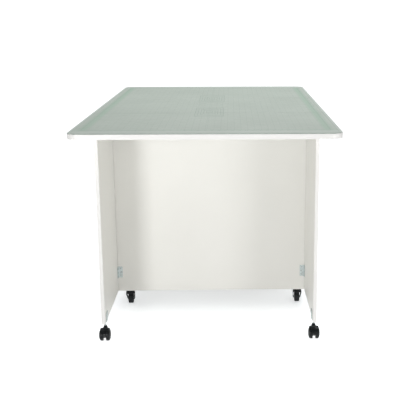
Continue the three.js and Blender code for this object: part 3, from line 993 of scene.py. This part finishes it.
def make_wings():
    for end, toward_front in ENDS:
        for side, toward_left in SIDES:
            corner = end + "_" + side
            body = corner + "_wing"
            wing = make_board(corner + "_wing", body)
            stem = joint_place(corner + "_wing_caster_swivel")
            axle = joint_place(corner + "_wing_wheel_spin")
            low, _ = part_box(corner + "_wing")
            bore = bmesh.new()
            turned(
                bore,
                [(0.0, low[2] - 2 * MM), (3.9 * MM, low[2] - 2 * MM), (3.9 * MM, low[2] + 24 * MM),
                 (0.0, low[2] + 24 * MM)],
                centre=(stem.x, stem.y, 0.0),
                steps=24,
            )
            cut(wing, to_mesh(bore, "bore"))
            make_bracket(corner, toward_front, toward_left)
            twin_wheels(corner, axle)
            twin_hood(corner, stem, axle, toward_front)


RACE_TOP = 64 * MM


def make_fork_casters():
    for end, toward_front in ENDS:
        for side, _ in SIDES:
            corner = end + "_" + side
            swivel = joint_place(corner + "_caster_swivel")
            axle = joint_place(corner + "_wheel_spin")
            caster_plate(corner, swivel)
            caster_fork(corner, swivel, axle, toward_front)
            caster_wheel(corner, axle)


def caster_plate(corner, swivel):
    node = corner + "_caster_plate"
    low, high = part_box(node)
    sheet = 2.5 * MM
    bm = bmesh.new()
    box_mesh(bm, (low[0], low[1], high[2] - sheet), high, arris=0.4 * MM, radii=(6 * MM,) * 4, steps=6)
    inset = 8 * MM
    for x in (low[0] + inset, high[0] - inset):
        for y in (low[1] + inset, high[1] - inset):
            add_screw(bm, (x, y, high[2] - sheet), (0, 0, -1), 50 * (x + y), 1.2, material=2)
    foot, neck, cup = low[2], 3.8 * MM, RACE_TOP + 0.4 * MM
    under = high[2] - sheet
    turned(
        bm,
        [(0.0, foot), (4.5 * MM, foot), (6.6 * MM, foot + 0.8 * MM), (7 * MM, foot + 2.0 * MM),
         (6.2 * MM, foot + 3.0 * MM), (neck, foot + 3.0 * MM), (neck, cup), (18.4 * MM, cup),
         (19.2 * MM, cup + 0.8 * MM), (19.5 * MM, cup + 2.2 * MM), (19.5 * MM, under - 2.6 * MM),
         (18.9 * MM, under - 1.4 * MM), (17.6 * MM, under - 0.5 * MM), (17.4 * MM, under + 0.4 * MM),
         (0.0, under + 0.4 * MM)],
        centre=(swivel.x, swivel.y, 0.0),
        steps=48,
    )
    for face in bm.faces:
        middle = face.calc_center_median()
        from_axis = math.hypot(middle.x - swivel.x, middle.y - swivel.y)
        if cup - 1e-6 < middle.z < under + 1e-6 and from_axis < 19.6 * MM:
            face.material_index = 1
    name = corner + "_caster_top_plate"
    piece(name, to_mesh(bm, name), "carcass", [ZINC, BLACK_STEEL, SCREW_STEEL], [node])


def caster_fork(corner, swivel, axle, toward_front):
    """Pressed steel fork: a raceway dish over two legs that draw in towards the wheel."""
    node = corner + "_caster_fork"
    bridge = 53 * MM
    bm = bmesh.new()
    turned(
        bm,
        [(4.5 * MM, bridge), (15.5 * MM, bridge), (18.6 * MM, bridge + 0.6 * MM),
         (19.8 * MM, bridge + 2.2 * MM), (20 * MM, bridge + 4.2 * MM), (20 * MM, RACE_TOP - 3.4 * MM),
         (19.2 * MM, RACE_TOP - 2.6 * MM), (19.6 * MM, RACE_TOP - 1.8 * MM), (19.4 * MM, RACE_TOP - 0.5 * MM),
         (18.8 * MM, RACE_TOP), (4.5 * MM, RACE_TOP), (4.5 * MM, bridge)],
        centre=(swivel.x, swivel.y, 0.0),
        steps=56,
    )
    sheet = 2 * MM
    rows = 20
    lean = axle.y - swivel.y
    top = bridge + 4 * MM
    for side in (-1, 1):
        rings = []
        for k in range(rows + 1):
            t = k / rows
            z = axle.z - 7.8 * MM + (top - axle.z + 7.8 * MM) * t
            rise = min(max((z - axle.z) / (top - axle.z), 0.0), 1.0)
            ease = rise * rise * (3 - 2 * rise)
            middle = axle.y - lean * ease
            half = 8 * MM + 1.2 * MM * ease + 3.5 * MM * math.sin(math.pi * rise)
            if z < axle.z:
                half = math.sqrt(max((8 * MM) ** 2 - (axle.z - z) ** 2, (1.6 * MM) ** 2))
            x = 13.4 * MM + 4.6 * MM * math.sqrt(rise)
            near, far = swivel.x + side * x, swivel.x + side * (x + sheet)
            rings.append([(near, middle - half, z), (near, middle + half, z), (far, middle + half, z),
                          (far, middle - half, z)])
        loft(bm, rings)
    name = corner + "_caster_fork_body"
    piece(name, to_mesh(bm, name), corner + "_caster", [BLACK_STEEL], [node])

    bm = bmesh.new()
    reach = 19 * MM
    turned(
        bm,
        [(0.0, -reach), (3.0 * MM, -reach), (5.0 * MM, -reach + 0.8 * MM), (5.6 * MM, -reach + 1.8 * MM),
         (5.6 * MM, -reach + 3.5 * MM), (3.0 * MM, -reach + 3.6 * MM), (3.0 * MM, reach - 3.6 * MM),
         (5.6 * MM, reach - 3.5 * MM), (5.6 * MM, reach - 1.8 * MM), (5.0 * MM, reach - 0.8 * MM),
         (3.0 * MM, reach), (0.0, reach)],
        "X",
        axle,
        steps=28,
    )
    name = corner + "_caster_axle"
    piece(name, to_mesh(bm, name), corner + "_caster", [ZINC])


def caster_wheel(corner, axle):
    half = 11.5 * MM
    r = WHEEL_RADIUS
    profile = [
        (3.4 * MM, -half), (6.5 * MM, -half), (7.0 * MM, -half + 0.4 * MM), (7.6 * MM, -half + 2.6 * MM),
        (15.5 * MM, -half + 3.0 * MM), (16.4 * MM, -half + 1.4 * MM), (17.2 * MM, -half + 0.6 * MM),
        (22.2 * MM, -half + 0.4 * MM), (23.8 * MM, -half + 1.1 * MM), (24.7 * MM, -half + 2.6 * MM),
        (r, -half + 4.6 * MM),
    ]
    mirrored = [(radius, -x) for radius, x in reversed(profile)]
    bm = bmesh.new()
    turned(bm, profile + mirrored + [profile[0]], "X", axle, steps=64)
    for face in bm.faces:
        middle = face.calc_center_median() - Vector(axle)
        face.material_index = 1 if math.hypot(middle.y, middle.z) < 16.2 * MM else 0
    name = corner + "_caster_wheel_tyre"
    piece(name, to_mesh(bm, name, 30), corner + "_caster_wheel", [GREY_TREAD, BLACK_PLASTIC],
          [corner + "_caster_wheel"])


# ---------------------------------------------------------------- studio

def make_floor(name, looks, height):
    reach = 30.0
    bm = bmesh.new()
    corners = ((-reach, -reach), (reach, -reach), (reach, reach), (-reach, reach))
    bm.faces.new([bm.verts.new((x, y, height)) for x, y in corners])
    mesh = bpy.data.meshes.new(name)
    bm.to_mesh(mesh)
    bm.free()
    mesh.materials.append(looks)
    floor = placed(name, mesh)
    return floor


def make_floors():
    """The floor that is seen, glowing white with a painted shadow beneath the carcass, and a duller one just
    below it that lights the table.
    """
    n = Nodes("floor")
    tone = n.span(n.noise(0.8, 2.0), 0.3, 0.7, 0.0, 1.0)
    n.shader.inputs["Emission Color"].default_value = (1.0, 1.0, 1.0, 1.0)
    # The floor glows like a lit sweep, less so beneath the carcass: this is a painted shadow, soft shade
    # painted into the floor's glow where the carcass's shadow would lie.
    across = n.math("DIVIDE", n.axes()[0], PAINTED_SHADOW_HALF_WIDTH)
    along = n.math("DIVIDE", n.axes()[1], PAINTED_SHADOW_HALF_DEPTH)
    reach = n.math("SQRT", n.math("ADD", n.math("MULTIPLY", across, across), n.math("MULTIPLY", along, along)))
    glow_with_painted_shadow = n.span(reach, 0.7, 1.7, FLOOR_GLOW_PAINTED_SHADOW_TO_OPEN[0], FLOOR_GLOW_PAINTED_SHADOW_TO_OPEN[1], smooth=True)
    n.link(glow_with_painted_shadow, n.shader.inputs["Emission Strength"])
    floor_looks = n.finish(n.mix(tone, (0.82, 0.86, 0.89), (0.84, 0.88, 0.91)), 0.9, Specular_IOR_Level=0.0)
    floor = make_floor("floor", floor_looks, 0.0)
    floor.visible_diffuse = False
    floor.visible_shadow = False
    n = Nodes("floor_bounce")
    tone = n.span(n.noise(0.8, 2.0), 0.3, 0.7, 0.0, 1.0)
    bounce_looks = n.finish(n.mix(tone, (0.88, 0.88, 0.86), (0.92, 0.92, 0.9)), 0.9, Specular_IOR_Level=0.0)
    bounce = make_floor("floor_bounce", bounce_looks, -1 * MM)
    bounce.visible_camera = False
    bounce.visible_glossy = False


def make_sky():
    """Even light from all round, and plain white wherever the camera sees past the floor."""
    world = bpy.data.worlds.new("studio")
    bpy.context.scene.world = world
    world.use_nodes = True
    tree = world.node_tree
    sky = tree.nodes["Background"]
    sky.inputs["Color"].default_value = (1.0, 1.0, 1.0, 1.0)
    sky.inputs["Strength"].default_value = WORLD_STRENGTH
    seen = tree.nodes.new("ShaderNodeBackground")
    seen.inputs["Color"].default_value = (1.0, 1.0, 1.0, 1.0)
    seen.inputs["Strength"].default_value = SEEN_SKY_STRENGTH
    rays = tree.nodes.new("ShaderNodeLightPath")
    choose = tree.nodes.new("ShaderNodeMixShader")
    tree.links.new(rays.outputs["Is Camera Ray"], choose.inputs[0])
    tree.links.new(sky.outputs[0], choose.inputs[1])
    tree.links.new(seen.outputs[0], choose.inputs[2])
    tree.links.new(choose.outputs[0], tree.nodes["World Output"].inputs["Surface"])


def make_lamps():
    for name, place, aim, size, power in LIGHTS:
        lamp = bpy.data.lights.new(name, "AREA")
        lamp.shape = "RECTANGLE"
        lamp.size, lamp.size_y = size
        lamp.energy = power
        made = placed(name, lamp)
        made.location = place
        made.rotation_euler = (Vector(aim) - Vector(place)).to_track_quat("-Z", "Y").to_euler()


def make_camera():
    camera = bpy.data.cameras.new("camera")
    camera.sensor_width = 36.0
    camera.lens = CAMERA_LENS
    camera.shift_x = CAMERA_SHIFT
    holder = placed("camera", camera)
    holder.location = CAMERA_PLACE
    holder.rotation_euler = (math.radians(CAMERA_TILT), 0.0, math.radians(CAMERA_TURN))
    bpy.context.scene.camera = holder
    bpy.context.scene.view_settings.view_transform = "Standard"
    bpy.context.scene.view_settings.look = "None"


CAMERA_LENS = 72.336
CAMERA_SHIFT = -0.1118
CAMERA_PLACE = (0.0934, -3.88111, 1.32951)
CAMERA_TILT = 76.4784
CAMERA_TURN = -1.6059

WORLD_STRENGTH = 0.38
SEEN_SKY_STRENGTH = 1.3
# The floor's glow inside the painted shadow beneath the carcass, then out in the open.
FLOOR_GLOW_PAINTED_SHADOW_TO_OPEN = (0.51, 0.85)
# Half-size of the painted shadow's oval on the floor, across and along the table.
PAINTED_SHADOW_HALF_WIDTH = 0.62
PAINTED_SHADOW_HALF_DEPTH = 0.42
LIGHTS = (
    ("key", (-1.5, -4.3, 0.9), (0.1, -0.3, 0.4), (0.7, 0.7), 50.0),
    ("fill", (2.6, -4.0, 0.9), (0.0, -0.3, 0.4), (1.2, 1.2), 34.0),
    ("overhead", (0.4, 0.6, 3.2), (0.1, 0.0, 0.9), (3.0, 3.0), 76.0),
)


make_carcass()
make_top()
make_mats()
make_wing_hinges()
make_leaf_hinges()
make_wings()
make_fork_casters()
make_floors()
make_sky()
make_lamps()
make_camera()
